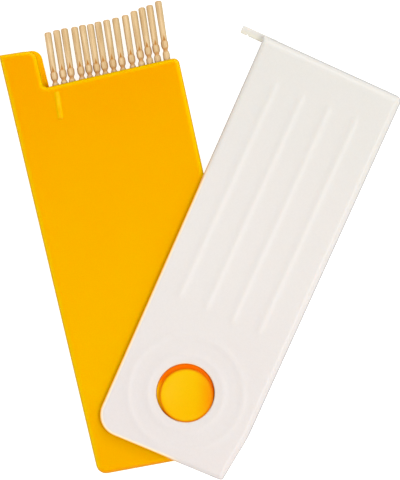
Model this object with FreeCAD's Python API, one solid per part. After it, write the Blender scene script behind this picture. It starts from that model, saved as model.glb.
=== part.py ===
import FreeCAD, Part

import math
import os

# Flat pocket dispenser for turned toothpicks, lying on its back, in millimetres.
# A two-part case holds one row of picks. A cover with a side flange and a top lip
# swivels on a stud near the foot of the case, and its tongue latches in the case's tab.
# X runs across the case, Y up along it, Z out of its front. The origin is the point
# of the back face under the swivel axis. The cover is drawn open and the picks raised.

# Case, measured from the swivel axis
case_left = 24.97
case_right = 15.6
flank_flare_deg = 0.5
foot_drop = 15.74
foot_slope_deg = 2.4
rim_height = 79.25
tab_rise = 9.97
tab_slope_deg = 4.1
tab_width = 8.85
tab_back_reach = 1.2
tab_back_lean = 0.1
case_depth = 4.6
wall = 1.1
flank_wall = 1.0
tab_roof = 0.8
tab_slot = 2.5
floor_height = 6.7
front_edge_round = 1.4
back_edge_round = 0.8
foot_corner_round = 2.4
foot_swing_round = 15.5
rim_corner_round = 1.5
notch_round = 1.0
tab_corner_round = 2.3
tab_back_round = 2.5
inner_corner_round = 1.0

# Joint between the two case shells
lap_height = 0.6
lap_thickness = 0.45
lap_clearance = 0.05
dowel_radius = 0.8
dowel_clearance = 0.05
dowel_wall = 0.8
dowel_place_shares = ((-0.74, 0.05), (-0.74, -0.62), (0.25, -0.64))

# Friction bead on the front of the case
bead_length = 7.0
bead_radius = 0.7
bead_stand = 0.38
bead_from_rim = 5.0
bead_from_tab = 2.55

# Swivel: stud, seat and bore
shank_radius = 3.8
shank_core = 2.7
socket_wall = 0.9
stud_core_roof = 0.9
seat_width = 4.9
seat_clearance = 0.15
journal_radius = 6.95
swivel_clearance = 0.05
cover_lift = 0.5
seat_lift = 0.45
head_radius = 6.5
head_offset = 0.65
head_offset_deg = -81.0
head_groove_depth = 0.9
head_flare = 0.23
head_clearance = 0.1
bore_chamfer = 0.3
dish_radius = 5.75
dish_depth = 0.38

# Cover, measured from the swivel axis in its own direction
cover_left = 17.25
cover_left_top = 18.25
cover_right = 18.1
cover_right_foot = 16.75
cover_below_roof = 1.33
cover_foot = 16.2
cover_foot_slope_deg = 2.0
cover_plate = 1.3
cover_edge_round = 1.5
flange_thickness = 1.7
flange_rise = 0.4
cover_foot_round = 5.5
cover_knee_drop = 4.2
cover_knee_round = 40.0
cover_corner_round = 1.6
cover_tip_round = 0.8
lip_thickness = 2.0
lip_front_gap = 0.4
lip_back_gap = 0.9
tongue_reach = 5.75
tongue_clearance = 0.45
tongue_notch = 0.3
tongue_notch_from_tip = 1.7
open_deg = 37.35

# Raised ribs and rings pressed out of the cover
rib_count = 4
rib_pitch = 7.0
rib_first = -11.1
rib_width = 3.4
rib_stand = 0.25
rib_low = 19.8
rib_from_top = 8.6
rib_taper = 9.0
ring_crests = (9.1, 13.9)
ring_width = 2.4
ring_stand = 0.16
relief_root = 0.4

# Toothpicks
pick_length = 60.0
pick_radius = 0.85
pick_bead_radius = 0.89
pick_waist_radius = 0.77
pick_neck_radius = 0.4
pick_tip_radius = 0.12
pick_end_round = 0.32
pick_head_length = 9.7
pick_bead_length = 1.95
pick_neck_width = 0.75
pick_taper_length = 15.0
pick_lean_deg = 4.1
pick_proud = 12.8
pick_place_shares = (0.089, 0.156, 0.217, 0.293, 0.354, 0.414, 0.473,
                     0.539, 0.608, 0.683, 0.752, 0.815, 0.876, 0.945)
pick_proud_shares = (1.005, 1.01, 1.01, 0.995, 0.995, 0.98, 0.99,
                     0.99, 0.99, 1.00, 1.04, 1.07, 1.08, 1.12)

# Cuts run past faces by this much, and edges are found within this distance
overrun = 2.0
touch = 0.0001

flare = math.tan(math.radians(flank_flare_deg))
foot_slope = math.tan(math.radians(foot_slope_deg))
tab_slope = math.tan(math.radians(tab_slope_deg))
cover_foot_slope = math.tan(math.radians(cover_foot_slope_deg))
parting = case_depth / 2
front_inside = case_depth - wall
tab_height = rim_height + tab_rise
roof_height = tab_height - tab_width * tab_slope - tab_roof
cover_height = roof_height - cover_below_roof
rib_high = cover_height - rib_from_top
plate_low = case_depth + cover_lift
plate_top = plate_low + cover_plate
bore_radius = journal_radius + swivel_clearance
socket_radius = shank_radius + socket_wall
lip_inner = cover_height - lip_thickness
tab_x = tab_width - case_left - tab_height * flare

Z_AXIS = FreeCAD.Vector(0, 0, 1)
CENTRE = FreeCAD.Vector(0, 0, 0)


def vec(x, y, z=0.0):
    return FreeCAD.Vector(x, y, z)


def left_flank(y, inset=0.0):
    return inset - case_left - y * flare


def right_flank(y, inset=0.0):
    return case_right + y * flare - inset


def inset_points(corners, inset):
    """Corner points of a counter-clockwise outline moved inwards by inset."""
    points = [vec(x, y) for x, y, _ in corners]
    moved = []
    for here in range(len(points)):
        before = (points[here] - points[here - 1]).normalize()
        after = (points[(here + 1) % len(points)] - points[here]).normalize()
        normal_before = vec(-before.y, before.x)
        normal_after = vec(-after.y, after.x)
        middle = normal_before + normal_after
        moved.append(points[here] + middle * (inset * 2 / middle.dot(middle)))
    return moved


def outline_face(corners, z, inset=0.0):
    """Flat face inside corners (x, y, radius), each corner rounded by an arc."""
    points = inset_points(corners, inset)
    starts = []
    ends = []
    middles = []
    for here, (_, _, radius) in enumerate(corners):
        corner = points[here]
        back = (points[here - 1] - corner).normalize()
        ahead = (points[(here + 1) % len(points)] - corner).normalize()
        convex = back.cross(ahead).z < 0
        size = max(radius - inset, 0.0) if convex else radius + inset
        if radius == 0 or size == 0:
            starts.append(corner)
            ends.append(corner)
            middles.append(None)
            continue
        half = back.getAngle(ahead) / 2
        reach = size / math.tan(half)
        bisector = (back + ahead).normalize()
        starts.append(corner + back * reach)
        ends.append(corner + ahead * reach)
        middles.append(corner + bisector * (size / math.sin(half) - size))
    lift = vec(0, 0, z)
    edges = []
    for here in range(len(points)):
        if middles[here] is not None:
            arc = Part.Arc(starts[here] + lift, middles[here] + lift, ends[here] + lift)
            edges.append(arc.toShape())
        after = starts[(here + 1) % len(points)]
        edges.append(Part.LineSegment(ends[here] + lift, after + lift).toShape())
    return Part.Face(Part.Wire(edges))


def slab(corners, z_low, z_high, inset=0.0):
    return outline_face(corners, z_low, inset).extrude(vec(0, 0, z_high - z_low))


def block(x_low, x_high, y_low, y_high, z_low, z_high):
    return Part.makeBox(x_high - x_low, y_high - y_low, z_high - z_low,
                        vec(x_low, y_low, z_low))


def post(radius, z_low, z_high, x=0.0, y=0.0):
    return Part.makeCylinder(radius, z_high - z_low, vec(x, y, z_low))


def tube(outer, inner, z_low, z_high, x=0.0, y=0.0):
    return post(outer, z_low, z_high, x, y).cut(post(inner, z_low, z_high, x, y))


def level_edges(solid, z):
    """Edges of a solid that lie flat at height z."""
    found = []
    for edge in solid.Edges:
        box = edge.BoundBox
        if abs(box.ZMin - z) < touch and abs(box.ZMax - z) < touch:
            found.append(edge)
    return found


def whole(shape):
    """One clean solid from a boolean result."""
    return shape.removeSplitter().Solids[0]


def case_outline(notch_x, top_x, notch_radius, tab_radius):
    """Case seen from the front; the tab's right side differs between front and back."""
    scale_left = 1 - flare * foot_slope
    scale_right = 1 + flare * foot_slope
    foot_left = (case_left * foot_slope - foot_drop) / scale_left
    foot_right = -(foot_drop + case_right * foot_slope) / scale_right
    tab_left = left_flank(tab_height)
    tab_right = tab_height - (top_x - tab_left) * tab_slope
    return [
        (left_flank(foot_left), foot_left, foot_corner_round),
        (right_flank(foot_right), foot_right, foot_swing_round),
        (right_flank(rim_height), rim_height, rim_corner_round),
        (notch_x, rim_height, notch_radius),
        (top_x, tab_right, tab_radius),
        (tab_left, tab_height, 0),
    ]


def front_outline():
    return case_outline(tab_x, tab_x, notch_round, tab_corner_round)


def back_outline():
    reach = tab_x + tab_back_reach
    return case_outline(reach, reach - tab_back_lean, 0, tab_back_round)


def foot_band(inset, top):
    """Outline of the case below height top, its flanks and foot moved in by inset."""
    corners = front_outline()[:2]
    corners.append((right_flank(top + inset), top + inset, 0))
    corners.append((left_flank(top + inset), top + inset, 0))
    points = inset_points(corners, inset)
    rounds = [max(corner[2] - inset, 0) for corner in corners]
    return [(point.x, point.y, size) for point, size in zip(points, rounds)]


def chamber(z_low, z_high):
    """Space for the picks, open at the mouth and into the tab's latch pocket."""
    radius = inner_corner_round
    above = tab_height + overrun
    slot_x = tab_x - tab_slot
    corners = [
        (left_flank(floor_height, flank_wall), floor_height, radius),
        (right_flank(floor_height, flank_wall), floor_height, radius),
        (right_flank(above, flank_wall), above, 0),
        (slot_x, above, 0),
        (slot_x, roof_height, 0),
        (left_flank(roof_height, flank_wall), roof_height, 0),
    ]
    return slab(corners, z_low, z_high)


def foot_cavity(z_low, z_high):
    """Cored space behind the swivel, below the chamber's floor."""
    return slab(foot_band(flank_wall, floor_height - flank_wall), z_low, z_high)


def lap_ring(thickness, z_low, z_high):
    """Inner part of the flanks and foot, where the two shells lap."""
    top = rim_height - tab_width
    outer = slab(foot_band(flank_wall - thickness, top), z_low, z_high)
    inner = slab(foot_band(flank_wall, top + overrun), z_low - overrun, z_high + overrun)
    return outer.cut(inner)


def pin_spots():
    """Places of the locating pins in the foot of the case."""
    return [(case_left * x_share, foot_drop * y_share)
            for x_share, y_share in dowel_place_shares]


def front_shell():
    outline = front_outline()
    shell = slab(outline, parting, case_depth)
    shell = shell.makeFillet(front_edge_round, level_edges(shell, case_depth))
    shell = shell.cut(chamber(parting - overrun, front_inside))
    shell = shell.cut(foot_cavity(parting - overrun, front_inside))
    shell = shell.cut(lap_ring(lap_thickness + lap_clearance, parting - overrun,
                               parting + lap_height + lap_clearance))
    extras = [
        tube(socket_radius, shank_radius, wall, front_inside),
        tube(bore_radius + seat_clearance + seat_width, bore_radius + seat_clearance,
             case_depth, case_depth + seat_lift),
        friction_bead(),
    ]
    for x, y in pin_spots():
        extras.append(post(dowel_radius + dowel_clearance + dowel_wall,
                           parting, front_inside, x, y))
    shell = shell.fuse(extras)
    for x, y in pin_spots():
        shell = shell.cut(post(dowel_radius + dowel_clearance, parting - overrun,
                               front_inside, x, y))
    shell = shell.cut(post(shank_radius, wall, case_depth + overrun))
    return whole(shell)


def friction_bead():
    """Rounded bead by the notch, which the closed cover rubs over."""
    lean = math.radians(pick_lean_deg)
    along = vec(math.sin(lean), math.cos(lean))
    span = bead_length - 2 * bead_radius
    middle = vec(tab_x + bead_from_tab, rim_height - bead_from_rim,
                 case_depth + bead_stand - bead_radius)
    start = middle - along * (span / 2)
    bead = Part.makeCylinder(bead_radius, span, start, along)
    bead = bead.fuse([Part.makeSphere(bead_radius, start),
                      Part.makeSphere(bead_radius, start + along * span)])
    low = case_depth - bead_radius / 2
    size = bead_length + overrun
    return bead.common(block(middle.x - size, middle.x + size, middle.y - size,
                             middle.y + size, low, case_depth + bead_radius))


def back_shell():
    outline = back_outline()
    shell = slab(outline, 0, parting)
    shell = shell.makeFillet(back_edge_round, level_edges(shell, 0))
    shell = shell.cut(chamber(wall, parting + overrun))
    shell = shell.cut(foot_cavity(wall, parting + overrun))
    extras = [
        lap_ring(lap_thickness, parting - lap_height, parting + lap_height),
        tube(socket_radius + swivel_clearance + socket_wall,
             socket_radius + swivel_clearance, wall - relief_root, parting - lap_height),
    ]
    for x, y in pin_spots():
        extras.append(post(dowel_radius, wall - relief_root,
                           parting + lap_height, x, y))
    return whole(shell.fuse(extras))


def pivot_stud():
    """Cored stud pressed into the case, with an off-centre dished head."""
    groove = plate_top - head_groove_depth
    shaft = post(shank_radius, wall + head_clearance, case_depth)
    shaft = shaft.fuse(post(journal_radius, case_depth, groove))
    flare_low = plate_top - head_flare
    envelope = post(journal_radius, case_depth, flare_low)
    envelope = envelope.fuse(Part.makeCone(journal_radius, journal_radius + head_flare,
                                           head_flare, vec(0, 0, flare_low)))
    turn = math.radians(head_offset_deg)
    x = head_offset * math.cos(turn)
    y = head_offset * math.sin(turn)
    head = post(head_radius, groove - relief_root, plate_top, x, y).common(envelope)
    stud = shaft.fuse(head)
    dish_ball = (dish_radius ** 2 + dish_depth ** 2) / (2 * dish_depth)
    stud = stud.cut(Part.makeSphere(dish_ball, vec(x, y, plate_top + dish_ball - dish_depth)))
    core = post(shank_core, wall, groove - stud_core_roof)
    return whole(stud.cut(core))


def cover_outline():
    foot_left = -(cover_foot + cover_left * cover_foot_slope)
    foot_right = cover_right_foot * cover_foot_slope - cover_foot
    return [
        (-cover_left, foot_left, cover_foot_round),
        (cover_right_foot, foot_right, cover_tip_round),
        (cover_right, -cover_knee_drop, cover_knee_round),
        (cover_right, cover_height, cover_corner_round),
        (-cover_left_top, cover_height, 0),
    ]


def cover_shell():
    """Plate with its side flange and top lip, before the reliefs and the bore."""
    full = slab(cover_outline(), flange_rise, plate_top)
    full = full.makeFillet(cover_edge_round, level_edges(full, plate_top))
    width = cover_left + cover_right + overrun
    inside = cover_right - flange_thickness
    space = [
        (-width, -cover_height, 0),
        (inside, -cover_height, 0),
        (inside, lip_inner, inner_corner_round),
        (-width, lip_inner, 0),
    ]
    above = cover_height + overrun
    front_end = tab_x + lip_front_gap
    back_end = tab_x + tab_back_reach + lip_back_gap
    return full.cut([
        slab(space, 0, plate_low),
        block(0, width, -cover_height, -cover_knee_drop, 0, plate_low),
        block(-width, front_end, lip_inner - overrun, above, 0, plate_low),
        block(-width, back_end, lip_inner - overrun, above, 0, wall + tongue_clearance),
    ])


def tongue():
    """Latch tongue that carries the lip on past the cover's left edge."""
    low = wall + tongue_clearance
    high = front_inside - tongue_clearance
    tip = -(cover_left_top + tongue_reach)
    bar = block(tip, tab_x + tab_back_reach + lip_back_gap, lip_inner, cover_height,
                low, high)
    notch_x = tip + tongue_notch_from_tip
    notch = block(notch_x, notch_x + tongue_notch, lip_inner - overrun,
                  lip_inner + tongue_notch, low, high)
    return bar.cut(notch)


def relief_arc(width, stand):
    """Radius of the round that rises stand above a face over a width."""
    return (width ** 2 / 4 + stand ** 2) / (2 * stand)


def raised_rib(x):
    """Long rib with ends that taper into the cover's face."""
    radius = relief_arc(rib_width, rib_stand)
    end_radius = radius - rib_stand
    depth = plate_top + rib_stand - radius
    profile = [(0, rib_low), (end_radius, rib_low), (radius, rib_low + rib_taper),
               (radius, rib_high - rib_taper), (end_radius, rib_high), (0, rib_high),
               (0, rib_low)]
    wire = Part.makePolygon([vec(x + across, along, depth) for across, along in profile])
    rib = Part.Face(wire).revolve(vec(x, rib_low, depth), vec(0, 1, 0), 360)
    return rib.common(block(x - radius, x + radius, rib_low, rib_high,
                            plate_top - relief_root, plate_top + rib_stand))


def raised_ring(crest):
    radius = relief_arc(ring_width, ring_stand)
    ring = Part.makeTorus(crest, radius, vec(0, 0, plate_top + ring_stand - radius))
    reach = crest + ring_width
    return ring.common(tube(reach, crest - ring_width, plate_top - relief_root,
                            plate_top + ring_stand))


def swivel_cover():
    shell = cover_shell().fuse(tongue())
    reliefs = [raised_rib(rib_first + step * rib_pitch) for step in range(rib_count)]
    reliefs += [raised_ring(crest) for crest in ring_crests]
    shell = shell.fuse(reliefs)
    shell = shell.cut(post(bore_radius, plate_low - overrun, plate_top + overrun))
    chamfer = Part.makeCone(bore_radius, bore_radius + bore_chamfer + overrun,
                            bore_chamfer + overrun, vec(0, 0, plate_top - bore_chamfer))
    cover = whole(shell.cut(chamfer))
    cover.rotate(CENTRE, Z_AXIS, -open_deg)
    return cover


def pick_profile():
    """Half outline of a pick as (radius, distance from the head end)."""
    bead_low = pick_head_length + pick_bead_length
    neck_low = bead_low + pick_neck_width
    shoulder = pick_neck_width / 2
    return [
        (0, 0),
        (pick_radius - pick_end_round, 0),
        (pick_radius, pick_end_round),
        (pick_waist_radius, pick_head_length - shoulder),
        (pick_waist_radius, pick_head_length),
        (pick_bead_radius, pick_head_length + shoulder / 2),
        (pick_bead_radius, bead_low - shoulder),
        (pick_neck_radius, bead_low + shoulder / 2),
        (pick_neck_radius, bead_low + shoulder),
        (pick_radius, neck_low + shoulder),
        (pick_radius, pick_length - pick_taper_length),
        (pick_tip_radius, pick_length),
        (0, pick_length),
        (0, 0),
    ]


def toothpick(place_share, proud_share):
    """One turned pick, leaning in the mouth with its head proud of the rim."""
    mouth_high = right_flank(rim_height, flank_wall)
    at_rim = tab_x + (mouth_high - tab_x) * place_share
    lean = math.radians(pick_lean_deg)
    head_y = rim_height + pick_proud * proud_share
    head = vec(at_rim + (head_y - rim_height) * math.tan(lean), head_y, parting)
    points = [vec(radius, -along) for radius, along in pick_profile()]
    pick = Part.Face(Part.makePolygon(points)).revolve(CENTRE, vec(0, 1, 0), 360)
    pick.rotate(CENTRE, Z_AXIS, -pick_lean_deg)
    pick.translate(head)
    return pick


def save(name, shape):
    shape.exportStep(os.path.join("parts", name + ".step"))
    print(name, "valid" if shape.isValid() else "NOT VALID", len(shape.Solids),
          "solids,", round(shape.Volume, 1), "mm3")


def main():
    os.makedirs("parts", exist_ok=True)
    save("case_front_shell", front_shell())
    save("case_back_shell", back_shell())
    save("pivot_stud", pivot_stud())
    save("swivel_cover", swivel_cover())
    for number, shares in enumerate(zip(pick_place_shares, pick_proud_shares), 1):
        save("toothpick_%02d" % number, toothpick(*shares))


main()
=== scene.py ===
import math
import random

import bmesh
import bpy
from mathutils import Matrix, Vector, kdtree
from mathutils.geometry import delaunay_2d_cdt

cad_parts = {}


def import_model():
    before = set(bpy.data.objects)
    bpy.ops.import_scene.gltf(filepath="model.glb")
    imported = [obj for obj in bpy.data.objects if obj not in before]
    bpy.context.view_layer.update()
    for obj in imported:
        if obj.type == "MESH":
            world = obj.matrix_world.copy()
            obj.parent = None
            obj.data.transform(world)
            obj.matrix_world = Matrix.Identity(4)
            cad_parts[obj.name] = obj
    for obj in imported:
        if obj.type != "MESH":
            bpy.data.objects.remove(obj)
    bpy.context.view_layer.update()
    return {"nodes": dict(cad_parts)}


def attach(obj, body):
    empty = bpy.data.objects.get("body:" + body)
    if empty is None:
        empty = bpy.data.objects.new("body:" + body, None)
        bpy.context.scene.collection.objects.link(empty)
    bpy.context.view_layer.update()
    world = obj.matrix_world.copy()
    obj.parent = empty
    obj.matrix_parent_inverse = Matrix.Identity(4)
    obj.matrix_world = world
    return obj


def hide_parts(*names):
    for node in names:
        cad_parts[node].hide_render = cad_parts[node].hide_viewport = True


# Finished look of a pocket toothpick dispenser that lies open on its back: moulded plastic
# case, stud and swivel cover, and a row of turned wooden picks, in a pale studio. Sizes and
# places are in millimetres, unless a name or a comment says otherwise.

MM = 0.001
OPEN = math.radians(37.35)
LEAN = math.radians(4.1)

# The photograph's frame on the object: its middle, height and turn
VIEW_MIDDLE = (11.60, 35.07, 4.0)
VIEW_HEIGHT = 115.66
VIEW_TURN = math.atan2(-0.2225, 0.975)
CAMERA_DISTANCE = 1500.0
FILM_HEIGHT = 24.0

# Rounding of sharp edges on the shells and on the stud, and the angles that count as sharp
SHELL_EASE, STUD_EASE, EASED_OVER, CRISP_OVER = 0.12, 0.07, 50, 35
# CAD vertices this close are welded, and faces that turn by fewer degrees are one
WELD, FLAT_WITHIN, KEEP_FLAT = 0.0005, 0.3, 100

# Cover in its own frame, closed and with the swivel at the origin
PLATE_LOW, PLATE_TOP, RISE = 5.1, 6.4, 0.4
LEFT, LEFT_TOP, RIGHT, RIGHT_FOOT = -17.05, -18.3, 18.2, 16.8
FOOT, KNEE, TOP = -16.2, -4.2, 86.28
FOOT_SLOPE = math.tan(math.radians(2.0))
FOOT_CORNER, FOOT_TIP, KNEE_CORNER, TOP_CORNER, LIP_CORNER = 5.5, 0.8, 40.0, 1.6, 0.4
FLANGE_INNER, LIP_INNER, INNER_ROUND = 16.4, 84.46, 1.0
LIP_FRONT_END, LIP_BACK_END, TONGUE_TIP = -16.5, -14.8, -24.0
TONGUE_LOW, TONGUE_HIGH, TONGUE_TOP, NOTCH_X, NOTCH = 1.55, 3.05, 86.4, -22.3, 0.3
TONGUE_IN_LIP, TONGUE_ROUND, TONGUE_LIFT = 1.5, 0.14, 0.02
LIP_FRONT_CUT, LIP_BACK_CUT, BEYOND, BELOW, SQUARE, CUT_STEP = 3, 2, 60.0, -1.0, 0.001, 5.0
BORE, BORE_ROUND, BORE_STEPS = 7.0, 0.32, 144
SIDE_ROUND, RIGHT_ROUND, TOP_ROUND, BACK_ROUND = 1.25, 1.7, 2.3, 0.3
RIBS, RIB_LOW, RIB_HIGH, RIB_FADE = (-11.1, -4.1, 2.9, 9.9), 19.8, 77.7, 1.6
RIB_STAND, RIB_SPREAD, RIB_END_SHARE = 0.2, 0.62, 0.75
RINGS, RING_STAND, RING_SPREAD = (9.1, 13.9), 0.14, 0.58
# Distance from the edge where the relief starts, and over which it and the bore's settle
RELIEF_FROM, RELIEF_OVER, RELIEF_AT_BORE = 0.4, 2.0, 0.8

# Points that carry the cover's face: shares of the edge's and the bore's rounding, then
# rings round the bore, and staggered rows over the rest
OUTLINE_STEP = 0.6
EDGE_SHARES = (0.015, 0.06, 0.134, 0.234, 0.357, 0.5, 0.62, 0.74, 0.87, 1.0, 1.3)
BORE_SHARES = (0.06, 0.234, 0.5, 1.0)
# A point moved in from the edge is kept if it lies this share as deep, less the slack
KEPT_SHARE, KEPT_SLACK, BORE_CLEAR = 0.97, 0.003, 0.5
RING_START, RING_STEP, RING_COUNT, RING_MARGIN = 0.55, 0.3, 28, 2.2
ROWS, COLUMNS, ROW_GAP, ROW_MARGIN = 94, 128, 0.2, 2.9

# Toothpicks: place along the mouth and height over the rim, as shares
RIM, MOUTH_LOW, MOUTH_HIGH, PARTING, PROUD = 79.25, -16.9, 15.29, 2.3, 12.8
PLACES = (0.089, 0.156, 0.217, 0.293, 0.354, 0.414, 0.473,
          0.539, 0.608, 0.683, 0.752, 0.815, 0.876, 0.945)
PROUDS = (1.005, 1.01, 1.01, 0.995, 0.995, 0.98, 0.99,
          0.99, 0.99, 1.00, 1.04, 1.07, 1.08, 1.12)
# Turned outline of a toothpick as (radius, distance below the head end)
TURNING = ((0.0, 0.0), (0.3, 0.01), (0.5, 0.04), (0.64, 0.1), (0.75, 0.2), (0.82, 0.36),
           (0.85, 0.6), (0.845, 1.5), (0.83, 3.0), (0.81, 5.0), (0.79, 7.0), (0.775, 8.6),
           (0.76, 9.2), (0.73, 9.5), (0.72, 9.66), (0.76, 9.82), (0.83, 9.98), (0.875, 10.2),
           (0.89, 10.5), (0.89, 10.85), (0.875, 11.1), (0.84, 11.32), (0.78, 11.5),
           (0.7, 11.66), (0.62, 11.8), (0.565, 11.94), (0.55, 12.07), (0.57, 12.2),
           (0.63, 12.34), (0.71, 12.48), (0.78, 12.62), (0.825, 12.8), (0.848, 13.1),
           (0.85, 14.5), (0.85, 20.0), (0.85, 30.0), (0.85, 44.0), (0.84, 45.5),
           (0.8, 47.5), (0.7, 50.5), (0.55, 54.0), (0.36, 57.2), (0.2, 59.2),
           (0.12, 59.8), (0.0, 60.0))
PICK_SIDES, PICK_RADIUS, SAWN_DEPTH, SAWN_SLANT = 28, 0.85, 0.6, 0.09
WAVER, WAVER_FROM, WAVER_TO, SPIN_DEG, PICK_CRISP_OVER, SEED = 0.008, 1, 44, 6, 50, 7

# Roughness and specular level of each material
CASE_GLOSS, STUD_GLOSS, COVER_GLOSS = (0.42, 0.08), (0.36, 0.15), (0.40, 0.4)
WOOD_GLOSS, FLOOR_GLOSS = (0.6, 0.25), (0.8, 0.0)

# Plastic's noises as (scale, detail): drift of the colour, specks, flow and grain in the
# bump, with their shares, and the bump's strength and depth in metres
DRIFT, DRIFT_SHARE = (35.0, 2.0), 0.35
SPECKS, SPECK_LEVELS = (2400.0, 1.0), ((0.35, 0.982), (0.65, 1.0))
FLOW, FLOW_STRETCH = (140.0, 2.0), (1.0, 0.35, 1.0)
GRAIN, GRAIN_SHARE = (1600.0, 3.0), 0.2
PLASTIC_BUMP = (0.08, 0.0001)

# Case colours from foot to mouth, which are painted light and shade along it; the painted
# highlight on its rounded edges, the painted shade on edges that face the foot and on steep
# sides, the painted highlight on the bead and the painted light inside; and the edge highlight's
# and the steep shade's share of the colour by how squarely the surface faces up
CASE_REACH = (-16, 90)
# Painted light and shade along the case: lightest a fifth of the way up from the foot, deeper
# orange towards the mouth
CASE_LIT_ALONG = ((0.0, (0.75, 0.355, 0.0)), (0.2, (0.75, 0.397, 0.0)),
              (0.5, (0.75, 0.37, 0.0)), (1.0, (0.75, 0.315, 0.0)))
CASE_EDGE_HIGHLIGHT, CASE_FOOT_EDGE_SHADE = (0.77, 0.475, 0.005), (0.75, 0.25, 0.01)
CASE_STEEP_SHADE, CASE_BEAD_HIGHLIGHT, CASE_INSIDE_LIGHT = (0.56, 0.30, 0.005), (0.80, 0.48, 0.01), (1.0, 0.50, 0.0)
CASE_EDGE_HIGHLIGHT_SHARE = ((0.1, 0.0), (0.6, 1.0), (0.75, 0.9), (0.87, 0.65), (0.95, 0.4), (1.0, 0.0))
CASE_STEEP_SHADE_SHARE = ((0.04, 0.0), (0.2, 0.55), (0.52, 0.55), (0.66, 0.0))
BEAD_HEIGHT, BEAD_GAIN, BEAD_CLOUD, TO_FOOT_GAIN = (4.62, 4.85), 1.3, (900.0, 1.0), -1.3
INSIDE_FROM, INSIDE_TO = (1.0, 1.05), (1.15, 1.2)

# Stud: its lighter face sits off centre, with a sunk crescent beside it. Painted shade lies
# towards its far side and in the crescent, and painted light on the crescent's left part
STUD_REACH = (-7, 7)
# Painted light and shade across the stud
STUD_LIT_ALONG = ((0.2, (0.76, 0.42, 0.0)), (0.8, (0.76, 0.45, 0.0)))
STUD_FACE = (0.1, -0.64)
STUD_FAR_SHADE, STUD_RIM = (0.76, 0.20, 0.0), (0.62, 0.14, 0.0)
STUD_SUNK_SHADE, STUD_SUNK_LIGHT = (0.96, 0.19, 0.0), (1.0, 0.50, 0.0)
FAR_ACROSS, RIM_FROM_MIDDLE, SUNK_HEIGHT = (1.5, 6.9), (5.7, 6.3), (5.55, 5.9)
PALE_ACROSS, PALE_ALONG = (-4.8, -5.8), (3.5, 1.0)
FAR_FADE, RIM_FADE, RIM_SHARE = 1.6, 2.0, 0.9

# Cover: painted warm reflection round the bore, painted yellow reflection on the tongue,
# painted shade as a grey line on steep edges, and painted bounce light from the case on the
# edge where the left side and the foot lie over the case
COVER_REACH = (-16, 87)
# Painted bounce light and shade along the cover, pinker towards the foot
COVER_LIT_ALONG = ((0.0, (0.66, 0.61, 0.59)), (0.5, (0.665, 0.63, 0.60)),
               (1.0, (0.64, 0.62, 0.58)))
COVER_HALO_REFLECTION, COVER_TONGUE_REFLECTION, COVER_EDGE_SHADE = (0.72, 0.58, 0.42), (0.66, 0.63, 0.54), (0.42, 0.42, 0.42)
HALO_FROM_MIDDLE, TONGUE_ACROSS, TONGUE_ALONG = (7.0, 7.6), (-18.6, -18.2), (85.0, 85.9)
COVER_EDGE_SHADE_SHARE = ((0.03, 0.0), (0.12, 0.55), (0.45, 0.55), (0.62, 0.0))
OVER_CASE_ALONG, OVER_CASE_ACROSS = (54.0, 46.0), (6.0, 2.0)
COVER_CASE_BOUNCE = ((0.50, (0.84, 0.38, 0.0)), (0.72, (0.88, 0.72, 0.48)),
              (0.90, (0.88, 0.76, 0.58)))
COVER_CASE_BOUNCE_SHARE = ((0.86, 1.0), (0.97, 0.0))
HALO_SHARE, OUTWARD_GAIN = 0.8, -4.0

# Light under the surface: share, reach, and how far each of red, green and blue gets
GLOW_SHARE, GLOW_REACH = 0.3, 1.2
YELLOW_GLOW, WHITE_GLOW = (1.0, 0.3, 0.02), (1.0, 0.8, 0.6)

# Wood's noises as (scale, detail, stretch), and its bump's strength and depth in metres
FIBRE_CLOUD, TONE_CLOUD = (4200.0, 3.0, (1.0, 1.0, 0.05)), (900.0, 2.0, (1.0, 1.0, 0.12))
WOOD_BUMP = (0.35, 0.00005)

# Wood: base tones, fibres, and marks placed by the share of this depth below the head end:
# a darker cut end and neck, painted shade in the groove above the bead and on the bead's sides
WOOD_TONES = ((0.30, (0.62, 0.43, 0.22)), (0.50, (0.68, 0.49, 0.27)),
              (0.72, (0.73, 0.55, 0.33)))
WOOD_FIBRES = ((0.36, (0.82, 0.75, 0.66)), (0.60, (1.0, 1.0, 1.0)))
MARK_DEPTH = 15.0
DARK_AND_SHADE_SHARE = ((0.0, 0.55), (0.03, 0.0), (0.63, 0.0), (0.645, 0.7), (0.67, 0.0),
               (0.75, 0.05), (0.785, 0.8), (0.81, 0.7), (0.84, 0.0))
BEAD_SHARE = ((0.63, 0.0), (0.65, 1.0), (0.78, 1.0), (0.80, 0.0))
WOOD_DARK_AND_SHADE, WOOD_FLAME = (0.50, 0.22, 0.05), (0.42, 0.175, 0.03)
WOOD_SHADE, WOOD_BEAD_SHADE = (0.42, 0.31, 0.15), (0.44, 0.24, 0.09)
FLAME_FOOT, FLAME_LENGTH, FLAME_WIDTH, FLAME_BLUR, FLAME_OPENING = 9.8, 1.8, 0.42, 0.14, 6.0
# Sides of the turned stem with painted shade: its far side, its edges and the bead's edges,
# as distances from its middle
FAR_SIDE, FAR_SHADE = (0.1, 0.75), 0.75
NEAR_SIDE, NEAR_SHADE, BEAD_SHADE_SIDE = (0.65, 0.85), 0.2, (0.45, 0.8)

# Studio: (name, direction, power) of each soft light, and the floor
LIGHTS = (("key", (0.373, -0.285, 0.883), 24), ("top", (0.56, 0.66, 0.50), 16))
LIGHT_DISTANCE_M, LIGHT_SIZE_M = 3.0, 0.9
SKY_STRENGTH, FLOOR_GLOW, FLOOR_REACH_M, FLOOR_DROP = 1.06, 0.78, 1.5, 0.02
SKY_LEVELS = ((0.49, 0.05), (0.51, 0.85), (1.0, 1.0))
FLOOR_CLOUD, FLOOR_LEVELS = (3.0, 2.0), ((0.3, 0.50), (0.7, 0.52))
NEAR_CLIP_M, FAR_CLIP_M, BLACK_LEVEL = 0.01, 10.0, 0.012


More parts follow.
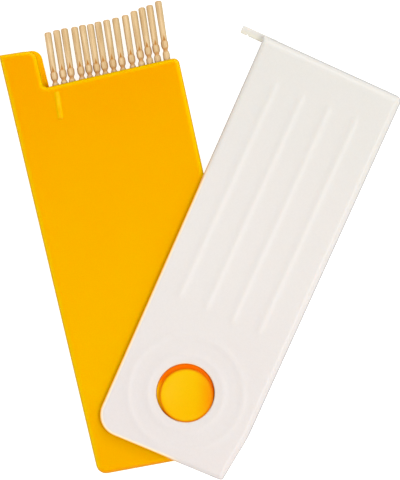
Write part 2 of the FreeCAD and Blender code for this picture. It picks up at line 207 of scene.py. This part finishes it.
def new_material(name, roughness, specular):
    material = bpy.data.materials.new(name)
    material.use_nodes = True
    tree = material.node_tree
    shader = tree.nodes["Principled BSDF"]
    shader.inputs["Roughness"].default_value = roughness
    shader.inputs["Specular IOR Level"].default_value = specular
    return material, tree, shader


def feed(tree, socket, value):
    """Link a socket to another, or set it to a plain number or colour."""
    if isinstance(value, bpy.types.NodeSocket):
        tree.links.new(value, socket)
    elif isinstance(value, tuple):
        socket.default_value = (*value, 1)
    else:
        socket.default_value = value


def maths(tree, operation, *values, clamp=False):
    node = tree.nodes.new("ShaderNodeMath")
    node.operation = operation
    node.use_clamp = clamp
    for socket, value in zip(node.inputs, values):
        feed(tree, socket, value)
    return node.outputs["Value"]


def times(tree, *values, clamp=False):
    return maths(tree, "MULTIPLY", *values, clamp=clamp)


def rest_of(tree, share):
    return maths(tree, "SUBTRACT", 1.0, share)


def mixed(tree, factor, first, second, blend="MIX"):
    node = tree.nodes.new("ShaderNodeMix")
    node.data_type = "RGBA"
    node.blend_type = blend
    feed(tree, node.inputs[0], factor)
    feed(tree, node.inputs[6], first)
    feed(tree, node.inputs[7], second)
    return node.outputs[2]


def ramp(tree, factor, stops):
    """Colour ramp over a factor, from (position, colour) stops."""
    node = tree.nodes.new("ShaderNodeValToRGB")
    elements = node.color_ramp.elements
    while len(elements) < len(stops):
        elements.new(0.5)
    for element, (position, colour) in zip(elements, stops):
        element.position = position
        element.color = (*colour, 1)
    tree.links.new(factor, node.inputs["Fac"])
    return node.outputs["Color"]


def levels(tree, factor, stops):
    """Ramp over a factor from (position, level) stops."""
    return ramp(tree, factor, [(position, (level,) * 3) for position, level in stops])


def surface(tree, output="Object", turn=0.0):
    """Object-space place or normal of the surface, turned about Z."""
    mapping = tree.nodes.new("ShaderNodeMapping")
    mapping.inputs["Rotation"].default_value = (0, 0, turn)
    places = tree.nodes.new("ShaderNodeTexCoord").outputs[output]
    tree.links.new(places, mapping.inputs["Vector"])
    return mapping.outputs["Vector"]


def axes(tree, vector):
    split = tree.nodes.new("ShaderNodeSeparateXYZ")
    tree.links.new(vector, split.inputs["Vector"])
    return split.outputs


def cloud(tree, scale, detail, stretch=(1, 1, 1), seeded=False):
    """Noise in the object's own frame, stretched along an axis. Seeded, it varies by object."""
    mapping = tree.nodes.new("ShaderNodeMapping")
    mapping.inputs["Scale"].default_value = stretch
    tree.links.new(surface(tree), mapping.inputs["Vector"])
    if seeded:
        info = tree.nodes.new("ShaderNodeObjectInfo")
        tree.links.new(info.outputs["Random"], mapping.inputs["Location"])
    field = tree.nodes.new("ShaderNodeTexNoise")
    field.inputs["Scale"].default_value = scale
    field.inputs["Detail"].default_value = detail
    tree.links.new(mapping.outputs["Vector"], field.inputs["Vector"])
    return field.outputs["Fac"]


def bumped(tree, shader, height, strength, distance):
    """Bump from a height. The distance is in metres."""
    node = tree.nodes.new("ShaderNodeBump")
    node.inputs["Strength"].default_value = strength
    node.inputs["Distance"].default_value = distance
    tree.links.new(height, node.inputs["Height"])
    tree.links.new(node.outputs["Normal"], shader.inputs["Normal"])


def span(tree, value, start, end):
    """A length as a clamped share of a range."""
    lowered = maths(tree, "SUBTRACT", value, start * MM)
    return maths(tree, "DIVIDE", lowered, (end - start) * MM, clamp=True)


def distance_from(tree, spot):
    """Distance across the piece from a spot."""
    places = axes(tree, surface(tree))
    offsets = [maths(tree, "SUBTRACT", places[axis], value * MM)
               for axis, value in zip("XY", spot)]
    squares = [times(tree, offset, offset) for offset in offsets]
    return maths(tree, "SQRT", maths(tree, "ADD", *squares))


def moulded_plastic(name, stops, reach, gloss, glow, tint, turn=0.0):
    """Moulded plastic whose colour shifts along the piece as painted light and shade, with a
    random drift, flow clouds and a fine grain.
    """
    material, tree, shader = new_material(name, *gloss)
    # Painted light and shade: the colour shifts along the piece through the given stops
    along = span(tree, axes(tree, surface(tree, turn=turn))["Y"], *reach)
    wander = times(tree, maths(tree, "SUBTRACT", cloud(tree, *DRIFT), 0.5), DRIFT_SHARE)
    colour = tint(tree, ramp(tree, maths(tree, "ADD", along, wander, clamp=True), stops))
    speck = levels(tree, cloud(tree, *SPECKS), SPECK_LEVELS)
    feed(tree, shader.inputs["Base Color"], mixed(tree, 1.0, colour, speck, "MULTIPLY"))
    grain = times(tree, cloud(tree, *GRAIN), GRAIN_SHARE)
    height = maths(tree, "ADD", grain, cloud(tree, *FLOW, FLOW_STRETCH))
    bumped(tree, shader, height, *PLASTIC_BUMP)
    shader.inputs["Subsurface Weight"].default_value = GLOW_SHARE
    shader.inputs["Subsurface Radius"].default_value = glow
    shader.inputs["Subsurface Scale"].default_value = GLOW_REACH * MM
    return material


def case_tint(tree, colour):
    """Painted highlight on rounded edges, painted shade on edges facing the foot and along steep
    sides, painted highlight on the bead and painted light inside.
    """
    facing = axes(tree, surface(tree, "Normal"))
    tilt = maths(tree, "ABSOLUTE", facing["Z"])
    # Painted shade: rounded edges that face the foot turn a darker orange
    to_foot = times(tree, facing["Y"], TO_FOOT_GAIN, clamp=True)
    # Painted highlight on the rounded edges, by how steeply they face
    edge = mixed(tree, to_foot, CASE_EDGE_HIGHLIGHT, CASE_FOOT_EDGE_SHADE)
    colour = mixed(tree, levels(tree, tilt, CASE_EDGE_HIGHLIGHT_SHARE), colour, edge)
    # Painted shade along steep sides
    colour = mixed(tree, levels(tree, tilt, CASE_STEEP_SHADE_SHARE), colour, CASE_STEEP_SHADE)
    height = axes(tree, surface(tree))["Z"]
    # Painted highlight on the raised bead
    bead = times(tree, span(tree, height, *BEAD_HEIGHT), cloud(tree, *BEAD_CLOUD))
    colour = mixed(tree, times(tree, bead, BEAD_GAIN, clamp=True), colour, CASE_BEAD_HIGHLIGHT)
    # Painted light on the inside face at this height
    inside = times(tree, span(tree, height, *INSIDE_FROM),
                   rest_of(tree, span(tree, height, *INSIDE_TO)))
    return mixed(tree, inside, colour, CASE_INSIDE_LIGHT)


def stud_tint(tree, colour):
    """Deeper orange along the face's rim; painted shade towards its far side and in the sunk
    crescent, with painted light on the crescent's left part.
    """
    spots = axes(tree, surface(tree, turn=-VIEW_TURN))
    # Painted shade in the sunk crescent
    sunk = rest_of(tree, span(tree, spots["Z"], *SUNK_HEIGHT))
    # Painted shade towards the stud's far side
    far = maths(tree, "POWER", span(tree, spots["X"], *FAR_ACROSS), FAR_FADE)
    colour = mixed(tree, far, colour, STUD_FAR_SHADE)
    from_middle = distance_from(tree, STUD_FACE)
    rim = maths(tree, "POWER", span(tree, from_middle, *RIM_FROM_MIDDLE), RIM_FADE)
    colour = mixed(tree, times(tree, rim, RIM_SHARE), colour, STUD_RIM)
    # Painted light on the crescent's left part
    paler = times(tree, span(tree, spots["X"], *PALE_ACROSS),
                  span(tree, spots["Y"], *PALE_ALONG))
    return mixed(tree, sunk, colour, mixed(tree, paler, STUD_SUNK_SHADE, STUD_SUNK_LIGHT))


def cover_tint(tree, colour):
    """Painted warm reflection round the bore, painted yellow reflection on the tongue, painted
    shade as a grey edge line, and painted bounce from the case on the edge over it.
    """
    # Painted warm reflection round the bore
    halo = rest_of(tree, span(tree, distance_from(tree, (0.0, 0.0)), *HALO_FROM_MIDDLE))
    colour = mixed(tree, times(tree, halo, HALO_SHARE), colour, COVER_HALO_REFLECTION)
    spots = axes(tree, surface(tree, turn=OPEN))
    # Painted yellow reflection on the tongue
    tongue = times(tree, rest_of(tree, span(tree, spots["X"], *TONGUE_ACROSS)),
                   rest_of(tree, span(tree, spots["Y"], *TONGUE_ALONG)))
    colour = mixed(tree, tongue, colour, COVER_TONGUE_REFLECTION)
    facing = axes(tree, surface(tree, "Normal", OPEN))
    tilt = maths(tree, "ABSOLUTE", facing["Z"])
    # Painted shade: a grey line on steep edges
    colour = mixed(tree, levels(tree, tilt, COVER_EDGE_SHADE_SHARE), colour, COVER_EDGE_SHADE)
    # Painted bounce light from the case on the outward edge where it lies over the case
    over_case = times(tree, span(tree, spots["Y"], *OVER_CASE_ALONG),
                      span(tree, spots["X"], *OVER_CASE_ACROSS))
    outward = times(tree, maths(tree, "ADD", facing["X"], facing["Y"]), OUTWARD_GAIN,
                    clamp=True)
    lit = times(tree, outward, levels(tree, tilt, COVER_CASE_BOUNCE_SHARE))
    return mixed(tree, times(tree, lit, over_case), colour, ramp(tree, tilt, COVER_CASE_BOUNCE))


def turned_wood():
    """Pale turned wood: long fibres, a darker neck and cut end, painted shade in the groove
    above the bead, a pointed darker flame mark, and painted shade on the stem's and the bead's
    sides.
    """
    material, tree, shader = new_material("pick_wood", *WOOD_GLOSS)
    fibre = cloud(tree, *FIBRE_CLOUD, seeded=True)
    colour = ramp(tree, cloud(tree, *TONE_CLOUD, seeded=True), WOOD_TONES)
    colour = mixed(tree, 1.0, colour, ramp(tree, fibre, WOOD_FIBRES), "MULTIPLY")
    spots = axes(tree, surface(tree))
    depth = maths(tree, "DIVIDE", spots["Z"], -MARK_DEPTH * MM)
    # Darker cut end and neck, and painted shade in the groove above the bead
    colour = mixed(tree, levels(tree, depth, DARK_AND_SHADE_SHARE), colour, WOOD_DARK_AND_SHADE)
    # A pointed darker flame mark above the bead
    rise = maths(tree, "DIVIDE", maths(tree, "ADD", spots["Z"], FLAME_FOOT * MM),
                 FLAME_LENGTH * MM)
    narrowing = maths(tree, "MINIMUM", rest_of(tree, rise),
                      times(tree, rise, FLAME_OPENING))
    room = times(tree, narrowing, FLAME_WIDTH * MM)
    side = maths(tree, "ABSOLUTE", spots["X"])
    flame = maths(tree, "DIVIDE", maths(tree, "SUBTRACT", room, side), FLAME_BLUR * MM,
                  clamp=True)
    colour = mixed(tree, flame, colour, WOOD_FLAME)
    # Painted shade on the far side and along the edges of the stem
    far_side = times(tree, span(tree, spots["X"], *FAR_SIDE), FAR_SHADE)
    near_side = times(tree, span(tree, side, *NEAR_SIDE), NEAR_SHADE)
    colour = mixed(tree, maths(tree, "MAXIMUM", far_side, near_side), colour, WOOD_SHADE)
    # Painted shade along the bead's edges
    bead_shade = times(tree, span(tree, side, *BEAD_SHADE_SIDE), levels(tree, depth, BEAD_SHARE))
    colour = mixed(tree, bead_shade, colour, WOOD_BEAD_SHADE)
    feed(tree, shader.inputs["Base Color"], colour)
    bumped(tree, shader, fibre, *WOOD_BUMP)
    return material


def add_object(name, mesh, material, matrix=None):
    mesh.materials.clear()
    mesh.materials.append(material)
    piece = bpy.data.objects.new(name, mesh)
    bpy.context.scene.collection.objects.link(piece)
    if matrix is not None:
        piece.matrix_world = matrix
    return piece


def smooth_by_angle(shaped, degrees):
    """Smooth shading, with every edge over the angle kept crisp."""
    for face in shaped.faces:
        face.smooth = True
    for edge in shaped.edges:
        edge.smooth = (len(edge.link_faces) == 2
                       and edge.calc_face_angle() < math.radians(degrees))


def eased(node, body, material, width):
    """A moulding's own form with its sharp edges slightly rounded, in the CAD node's place."""
    shaped = bmesh.new()
    shaped.from_mesh(node.data)
    bmesh.ops.remove_doubles(shaped, verts=shaped.verts, dist=WELD * MM)
    bmesh.ops.dissolve_limit(shaped, angle_limit=math.radians(FLAT_WITHIN),
                             verts=shaped.verts, edges=shaped.edges)
    sharp = [edge for edge in shaped.edges if len(edge.link_faces) == 2
             and edge.calc_face_angle() > math.radians(EASED_OVER)]
    bmesh.ops.bevel(shaped, geom=sharp, offset=width * MM, segments=2, profile=0.5,
                    affect="EDGES", clamp_overlap=False)
    smooth_by_angle(shaped, CRISP_OVER)
    mesh = bpy.data.meshes.new(node.name + "_eased")
    shaped.to_mesh(mesh)
    shaped.free()
    piece = add_object(node.name + "_eased", mesh, material)
    weighting = piece.modifiers.new("flat faces stay flat", "WEIGHTED_NORMAL")
    weighting.keep_sharp = True
    weighting.weight = KEEP_FLAT
    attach(piece, body)
    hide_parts(node.name)


def rounded_loop(corners, step):
    """Points round an outline of (x, y, radius) corners, anticlockwise, at most step apart."""
    corners = [(Vector((x, y)), radius) for x, y, radius in corners]
    turned = []
    for here, (corner, radius) in enumerate(corners):
        back = (corners[here - 1][0] - corner).normalized()
        ahead = (corners[(here + 1) % len(corners)][0] - corner).normalized()
        half = back.angle(ahead) / 2
        centre = corner + (back + ahead).normalized() * (radius / math.sin(half))
        start = corner + back * (radius / math.tan(half)) - centre
        sweep = math.pi - 2 * half
        pieces = max(3, math.ceil(sweep * radius / step))
        turned += [centre + Matrix.Rotation(sweep * n / pieces, 2) @ start
                   for n in range(pieces + 1)]
    points = []
    for here, point in enumerate(turned):
        after = turned[(here + 1) % len(turned)]
        pieces = max(1, math.ceil((after - point).length / step))
        points += [point.lerp(after, n / pieces) for n in range(pieces)]
    return points


def join_rings(shaped, lower, upper):
    for here in range(len(lower)):
        after = (here + 1) % len(lower)
        shaped.faces.new((lower[here], lower[after], upper[after], upper[here]))


def prism(points, low, high):
    """Closed mesh of an outline carried from one height to another."""
    shaped = bmesh.new()
    rings = [[shaped.verts.new((x, y, z)) for x, y in points] for z in (low, high)]
    shaped.faces.new(rings[0][::-1])
    shaped.faces.new(rings[1])
    join_rings(shaped, *rings)
    mesh = bpy.data.meshes.new("prism")
    shaped.to_mesh(mesh)
    shaped.free()
    return mesh


def combine(piece, mesh, operation):
    """Join a mesh to a piece or cut it away, with the result kept in the piece's mesh."""
    other = bpy.data.objects.new("other", mesh)
    bpy.context.scene.collection.objects.link(other)
    modifier = piece.modifiers.new("shape", "BOOLEAN")
    modifier.operation = operation
    modifier.solver = "EXACT"
    modifier.object = other
    evaluated = piece.evaluated_get(bpy.context.evaluated_depsgraph_get())
    result = bpy.data.meshes.new_from_object(evaluated)
    piece.modifiers.clear()
    piece.data = result
    bpy.data.objects.remove(other)


class Outline:
    """The cover's outline, with the distance of a point inside it and its edge's rounding."""

    # The top edge is this deep, the flange side's rounding applies right of and above these,
    # and each rounding is averaged over as many points to both sides
    TOP_DEPTH, FLANGE_FROM, FLANGE_ABOVE, BLEND = 0.3, 12, -14, 3

    def __init__(self):
        corners = [(LEFT, FOOT + LEFT * FOOT_SLOPE, FOOT_CORNER),
                   (RIGHT_FOOT, FOOT + RIGHT_FOOT * FOOT_SLOPE, FOOT_TIP),
                   (RIGHT, KNEE, KNEE_CORNER), (RIGHT, TOP, TOP_CORNER),
                   (LEFT_TOP, TOP, LIP_CORNER)]
        self.points = rounded_loop(corners, OUTLINE_STEP)
        self.count = len(self.points)
        self.tree = kdtree.KDTree(self.count)
        for index, point in enumerate(self.points):
            self.tree.insert((point.x, point.y, 0), index)
        self.tree.balance()
        rounds = [self.side_round(point) for point in self.points]
        near = range(-self.BLEND, self.BLEND + 1)
        self.rounds = [sum(rounds[(here + n) % self.count] for n in near) / len(near)
                       for here in range(self.count)]

    def side_round(self, point):
        if point.y > TOP - self.TOP_DEPTH:
            return TOP_ROUND
        if point.x > self.FLANGE_FROM and point.y > self.FLANGE_ABOVE:
            return RIGHT_ROUND
        return SIDE_ROUND

    def inward(self, here):
        along = self.points[(here + 1) % self.count] - self.points[here - 1]
        return Vector((-along.y, along.x)).normalized()

    def depth(self, point):
        """Signed distance inside the outline, and the edge rounding that applies there."""
        near = self.tree.find((point.x, point.y, 0))[1]
        best = None
        for here in range(near - 2, near + 2):
            start = self.points[here % self.count]
            run = self.points[(here + 1) % self.count] - start
            share = min(max((point - start).dot(run) / run.length_squared, 0), 1)
            gap = point - (start + run * share)
            if best is None or gap.length < abs(best):
                side = run.x * (point.y - start.y) - run.y * (point.x - start.x)
                best = math.copysign(gap.length, side)
        return best, self.rounds[near]


def rounding(distance, radius):
    """Drop of a rounded edge at a distance in from it."""
    if distance >= radius:
        return 0.0
    return radius - math.sqrt(max(radius ** 2 - (radius - max(distance, 0)) ** 2, 0))


def bell(distance, spread):
    return math.exp(-(distance / spread) ** 2 / 2)


def relief(point):
    """Height of the long ribs and the raised rings over the plate."""
    fade = min((point.y - RIB_LOW) / RIB_FADE, (RIB_HIGH - point.y) / RIB_FADE, 1)
    height = 0.0
    if fade > 0:
        fade = math.sin(fade * math.pi / 2)
        spread = RIB_SPREAD * (RIB_END_SHARE + (1 - RIB_END_SHARE) * fade)
        height = RIB_STAND * fade * max(bell(point.x - rib, spread) for rib in RIBS)
    rings = max(bell(point.length - ring, RING_SPREAD) for ring in RINGS)
    return height + RING_STAND * rings


def face_height(point, outline):
    """Height of the cover's face, where the relief settles towards the edge and the bore."""
    inside, edge_round = outline.depth(point)
    hole = point.length - BORE
    edge = max(rounding(inside, min(edge_round, RIGHT_ROUND)),
               rounding(TOP - point.y, TOP_ROUND))
    drop = edge + rounding(hole, BORE_ROUND)
    from_edge = min(max((inside - RELIEF_FROM) / RELIEF_OVER, 0), 1)
    from_bore = min(max(hole / RELIEF_AT_BORE, 0), 1)
    return PLATE_TOP + relief(point) * (from_edge * from_bore) - drop


def circle(radius, count, shift=0.0):
    return [Vector((radius * math.cos(turn), radius * math.sin(turn)))
            for turn in (2 * math.pi * (n + shift) / count for n in range(count))]


def face_points(outline):
    """Points over the cover's face: near its edge, round the bore, and in rows elsewhere."""
    points = []
    for share in EDGE_SHARES:
        for here, point in enumerate(outline.points):
            reach = outline.rounds[here] * share
            moved = point + outline.inward(here) * reach
            if (outline.depth(moved)[0] > reach * KEPT_SHARE - KEPT_SLACK
                    and moved.length > BORE + BORE_CLEAR):
                points.append(moved)
    reaches = [share * BORE_ROUND for share in BORE_SHARES]
    reaches += [RING_START + RING_STEP * step for step in range(RING_COUNT)]
    for step, reach in enumerate(reaches):
        stagger = 0.5 * (step % 2) if reach > BORE_ROUND else 0.0
        for point in circle(BORE + reach, BORE_STEPS, stagger):
            if outline.depth(point)[0] > RING_MARGIN:
                points.append(point)
    swept = BORE + reaches[-1] + ROW_GAP
    for row in range(ROWS):
        y = FOOT + (TOP - FOOT) * row / ROWS
        for column in range(COLUMNS):
            x = LEFT_TOP + (RIGHT - LEFT_TOP) * (column + 0.5 * (row % 2)) / COLUMNS
            point = Vector((x, y))
            if point.length > swept and outline.depth(point)[0] > ROW_MARGIN:
                points.append(point)
    return points


def sheet(shaped, rim, hole, inner, height, facing):
    """Triangulated sheet between an outline and a hole, and its two rims as vertices."""
    flat = rim + hole + inner
    rims = [(n, (n + 1) % len(rim)) for n in range(len(rim))]
    rims += [(len(rim) + n, len(rim) + (n + 1) % len(hole)) for n in range(len(hole))]
    spots, _, faces, origins, _, _ = delaunay_2d_cdt(flat, rims, [], 1, 1e-6)
    made = [shaped.verts.new((spot.x, spot.y, height(spot))) for spot in spots]
    for face in faces:
        middle = sum((spots[n] for n in face), Vector((0, 0))) / len(face)
        if middle.length > hole[0].length * math.cos(math.pi / len(hole)):
            corners = [made[n] for n in face]
            shaped.faces.new(corners if facing > 0 else corners[::-1])
    ordered = {source: made[n] for n, sources in enumerate(origins) for source in sources}
    outer = [ordered[n] for n in range(len(rim))]
    return outer, [ordered[len(rim) + n] for n in range(len(hole))]


def cover_blank(outline):
    """The cover as a solid block under its finished face, with the bore through it."""
    shaped = bmesh.new()
    bore = circle(BORE, BORE_STEPS)
    top, top_bore = sheet(shaped, outline.points, bore, face_points(outline),
                          lambda spot: face_height(spot, outline), 1)
    inset = [point + outline.inward(n) * BACK_ROUND for n, point in enumerate(outline.points)]
    low, low_bore = sheet(shaped, inset, bore, [], lambda spot: RISE, -1)
    rings = [low]
    for turn in (math.radians(degrees) for degrees in (30, 60, 90)):
        above = RISE + BACK_ROUND * (1 - math.cos(turn))
        ring = [point + outline.inward(n) * BACK_ROUND * (1 - math.sin(turn))
                for n, point in enumerate(outline.points)]
        rings.append([shaped.verts.new((*point, above)) for point in ring])
    rings.append(top)
    for lower, upper in zip(rings, rings[1:]):
        join_rings(shaped, lower, upper)
    join_rings(shaped, top_bore, low_bore)
    mesh = bpy.data.meshes.new("swivel_cover_moulding")
    shaped.to_mesh(mesh)
    shaped.free()
    return mesh


def tongue_bar():
    """Latch tongue with a thumb notch near its tip and softly rounded edges."""
    root = LIP_FRONT_END + TONGUE_IN_LIP
    low, high = LIP_INNER, TONGUE_TOP
    points = [(TONGUE_TIP, low), (NOTCH_X, low), (NOTCH_X, low + NOTCH),
              (NOTCH_X + NOTCH, low + NOTCH), (NOTCH_X + NOTCH, low), (root, low),
              (root, high), (TONGUE_TIP, high)]
    mesh = prism(points, TONGUE_LOW + TONGUE_LIFT, TONGUE_HIGH)
    shaped = bmesh.new()
    shaped.from_mesh(mesh)
    tip = [edge for edge in shaped.edges
           if min(vert.co.x for vert in edge.verts) < TONGUE_TIP + 0.1
           or abs(edge.verts[0].co.y - edge.verts[1].co.y) < 0.01]
    bmesh.ops.bevel(shaped, geom=tip, offset=TONGUE_ROUND, segments=3, profile=0.5,
                    affect="EDGES")
    shaped.to_mesh(mesh)
    shaped.free()
    return mesh


def build_cover(material):
    """The block hollowed out to plate, flange and lip, with the tongue joined on."""
    blank = add_object("swivel_cover_moulding", cover_blank(Outline()), material)
    space = [(-BEYOND, -BEYOND, SQUARE), (FLANGE_INNER, -BEYOND, SQUARE),
             (FLANGE_INNER, LIP_INNER, INNER_ROUND), (-BEYOND, LIP_INNER, SQUARE)]
    cuts = [(rounded_loop(space, CUT_STEP), PLATE_LOW),
            ([(0, -BEYOND), (BEYOND, -BEYOND), (BEYOND, KNEE), (0, KNEE)], PLATE_LOW)]
    for end, cut, high in ((LIP_FRONT_END, LIP_FRONT_CUT, PLATE_LOW),
                           (LIP_BACK_END, LIP_BACK_CUT, TONGUE_LOW)):
        cuts.append(([(-BEYOND, LIP_INNER - cut), (end, LIP_INNER - cut),
                      (end, BEYOND * 2), (-BEYOND, BEYOND * 2)], high))
    for points, high in cuts:
        combine(blank, prism(points, BELOW, high), "DIFFERENCE")
    combine(blank, tongue_bar(), "UNION")
    shaped = bmesh.new()
    shaped.from_mesh(blank.data)
    bmesh.ops.dissolve_degenerate(shaped, dist=SQUARE, edges=shaped.edges)
    bmesh.ops.transform(shaped, matrix=Matrix.Rotation(-OPEN, 4, "Z") @ Matrix.Scale(MM, 4),
                        verts=shaped.verts)
    smooth_by_angle(shaped, CRISP_OVER)
    shaped.to_mesh(blank.data)
    shaped.free()
    blank.data.materials.clear()
    blank.data.materials.append(material)
    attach(blank, "cover")
    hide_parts("swivel_cover")


def pick_mesh(chance):
    """Turned pick with its head end sawn a little out of square and a faint waver."""
    slant, turn = chance.uniform(0.0, SAWN_SLANT), chance.uniform(0, 2 * math.pi)
    shaped = bmesh.new()
    rings = []
    for radius, below in TURNING:
        waver = 1 + (chance.uniform(-WAVER, WAVER) if WAVER_FROM < below < WAVER_TO else 0)
        ring = []
        for step in range(PICK_SIDES):
            angle = 2 * math.pi * step / PICK_SIDES
            cut = (slant * radius / PICK_RADIUS * math.cos(angle - turn)
                   * max(0, 1 - below / SAWN_DEPTH))
            ring.append((radius * waver * math.cos(angle), radius * waver * math.sin(angle),
                         -below - abs(cut)))
        if radius == 0:
            rings.append([shaped.verts.new(Vector((0, 0, -below)) * MM)])
        else:
            rings.append([shaped.verts.new(Vector(spot) * MM) for spot in ring])
    for upper, lower in zip(rings, rings[1:]):
        if len(upper) == 1:
            for step in range(PICK_SIDES):
                shaped.faces.new((upper[0], lower[step], lower[(step + 1) % PICK_SIDES]))
        elif len(lower) == 1:
            for step in range(PICK_SIDES):
                shaped.faces.new((upper[step], lower[0], upper[(step + 1) % PICK_SIDES]))
        else:
            join_rings(shaped, lower, upper)
    smooth_by_angle(shaped, PICK_CRISP_OVER)
    mesh = bpy.data.meshes.new("turned_pick")
    shaped.to_mesh(mesh)
    shaped.free()
    return mesh


def build_picks(material):
    chance = random.Random(SEED)
    for number, (share, proud) in enumerate(zip(PLACES, PROUDS), 1):
        above = PROUD * proud
        x = MOUTH_LOW + (MOUTH_HIGH - MOUTH_LOW) * share + above * math.tan(LEAN)
        head = Matrix.Translation(Vector((x, RIM + above, PARTING)) * MM)
        upright = Matrix.Rotation(-LEAN, 4, "Z") @ Matrix.Rotation(-math.pi / 2, 4, "X")
        spin = Matrix.Rotation(math.radians(chance.uniform(-SPIN_DEG, SPIN_DEG)), 4, "Z")
        piece = add_object("turned_pick_%02d" % number, pick_mesh(chance), material,
                           head @ upright @ spin)
        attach(piece, "pick_%02d" % number)
        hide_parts("toothpick_%02d" % number)


def soft_light(name, direction, power):
    lamp = bpy.data.lights.new(name, "AREA")
    lamp.shape = "DISK"
    lamp.size = LIGHT_SIZE_M
    lamp.energy = power
    holder = bpy.data.objects.new(name, lamp)
    bpy.context.scene.collection.objects.link(holder)
    toward = Vector(direction).normalized()
    holder.location = Vector(VIEW_MIDDLE) * MM + toward * LIGHT_DISTANCE_M
    holder.rotation_euler = toward.to_track_quat("Z", "Y").to_euler()


def sky():
    """Studio surround, bright above the horizon, slightly more so overhead, and dark below."""
    world = bpy.data.worlds.new("studio")
    world.use_nodes = True
    tree = world.node_tree
    split = tree.nodes.new("ShaderNodeSeparateXYZ")
    around = tree.nodes.new("ShaderNodeTexCoord").outputs["Generated"]
    tree.links.new(around, split.inputs["Vector"])
    height = maths(tree, "MULTIPLY_ADD", split.outputs["Z"], 0.5, 0.5)
    back = tree.nodes["Background"]
    feed(tree, back.inputs["Color"], levels(tree, height, SKY_LEVELS))
    back.inputs["Strength"].default_value = SKY_STRENGTH
    bpy.context.scene.world = world


def lay_floor():
    mesh = bpy.data.meshes.new("floor")
    reach = FLOOR_REACH_M
    mesh.from_pydata([(-reach, -reach, 0), (reach, -reach, 0), (reach, reach, 0),
                      (-reach, reach, 0)], [], [(0, 1, 2, 3)])
    material, tree, shader = new_material("pale_floor", *FLOOR_GLOSS)
    mist = levels(tree, cloud(tree, *FLOOR_CLOUD), FLOOR_LEVELS)
    feed(tree, shader.inputs["Base Color"], mist)
    shader.inputs["Emission Color"].default_value = (1, 1, 1, 1)
    shader.inputs["Emission Strength"].default_value = FLOOR_GLOW
    floor = add_object("floor", mesh, material, Matrix.Translation((0, 0, -FLOOR_DROP * MM)))
    floor.visible_glossy = False


def set_camera():
    """Camera straight above, turned and framed as in the photograph, and the tone curve."""
    lens = bpy.data.cameras.new("camera")
    lens.sensor_fit = "VERTICAL"
    lens.sensor_height = FILM_HEIGHT
    lens.lens = FILM_HEIGHT * CAMERA_DISTANCE / VIEW_HEIGHT
    lens.clip_start = NEAR_CLIP_M
    lens.clip_end = FAR_CLIP_M
    camera = bpy.data.objects.new("camera", lens)
    bpy.context.scene.collection.objects.link(camera)
    x, y, z = VIEW_MIDDLE
    camera.location = Vector((x, y, z + CAMERA_DISTANCE)) * MM
    camera.rotation_euler = (0, 0, VIEW_TURN)
    bpy.context.scene.camera = camera
    view = bpy.context.scene.view_settings
    view.view_transform = "Standard"
    view.use_curve_mapping = True
    view.curve_mapping.black_level = (BLACK_LEVEL,) * 3
    view.curve_mapping.update()


def main():
    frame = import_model()
    nodes = frame["nodes"]
    case = moulded_plastic("case_plastic", CASE_LIT_ALONG, CASE_REACH, CASE_GLOSS, YELLOW_GLOW,
                           case_tint)
    stud = moulded_plastic("stud_plastic", STUD_LIT_ALONG, STUD_REACH, STUD_GLOSS, YELLOW_GLOW,
                           stud_tint)
    cover = moulded_plastic("cover_plastic", COVER_LIT_ALONG, COVER_REACH, COVER_GLOSS,
                            WHITE_GLOW, cover_tint, turn=OPEN)
    eased(nodes["case_front_shell"], "case", case, SHELL_EASE)
    eased(nodes["case_back_shell"], "case", case, SHELL_EASE)
    eased(nodes["pivot_stud"], "case", stud, STUD_EASE)
    build_cover(cover)
    build_picks(turned_wood())
    sky()
    for name, direction, power in LIGHTS:
        soft_light(name, direction, power)
    lay_floor()
    set_camera()


main()
